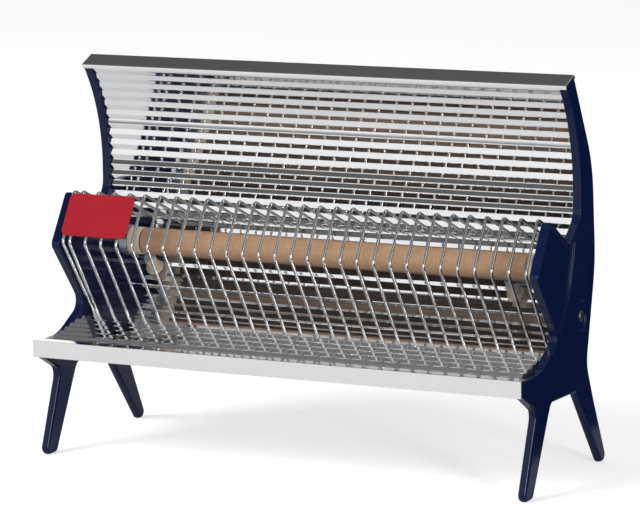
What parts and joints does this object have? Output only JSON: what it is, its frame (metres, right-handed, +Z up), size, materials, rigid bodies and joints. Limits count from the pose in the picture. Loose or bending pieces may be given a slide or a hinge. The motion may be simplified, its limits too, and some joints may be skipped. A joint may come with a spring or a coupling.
{
  "type": "radiant heater",
  "caption": "Free-standing radiant heater: splayed-leg moulded side panels, ribbed mirror reflector, wound ceramic rod element, bent-wire guard and a bare badge plate.",
  "frame": {"origin": "on the floor under the middle of the heater's overall box", "axes": "+X along the element, from the badge end to the other end; -Y the front that radiates; +Z up"},
  "size_m": [0.414, 0.1602, 0.3052],
  "materials": {
    "panel": "gloss",
    "mirror_sheet": "mirror",
    "bright_wire": "polished",
    "bright_trim": "polished",
    "plain_steel": "satin",
    "fixings": "satin",
    "ceramic": "matte",
    "winding": "satin",
    "sleeve": "matte",
    "gland": "matte",
    "badge": "gloss"
  },
  "bodies": {
    "root": {"side_panel_left": "panel", "side_panel_right": "panel", "reflector": "mirror_sheet", "guard_wires": "bright_wire", "front_trim": "bright_trim", "top_trim": "bright_trim", "guard_bar_upper": "plain_steel", "guard_bar_lower": "plain_steel", "rear_cover": "plain_steel", "badge_strip": "plain_steel", "badge_rivets": "plain_steel", "element_clamp_left": "fixings", "element_clamp_right": "fixings", "terminal_bolt_left": "fixings", "terminal_bolt_right": "fixings", "terminal_nuts": "fixings", "lead_lugs": "fixings", "earth_screw": "fixings", "block_screws": "fixings", "side_screws": "fixings", "side_nuts": "fixings", "element_core": "ceramic", "element_cap_left": "ceramic", "element_cap_right": "ceramic", "terminal_bush_left": "ceramic", "terminal_bush_right": "ceramic", "rear_bush_left": "ceramic", "rear_bush_right": "ceramic", "terminal_block": "ceramic", "element_winding": "winding", "lead_left": "sleeve", "lead_right": "sleeve", "cord_gland": "gland", "badge_plate": "badge"}
  },
  "joints": []
}
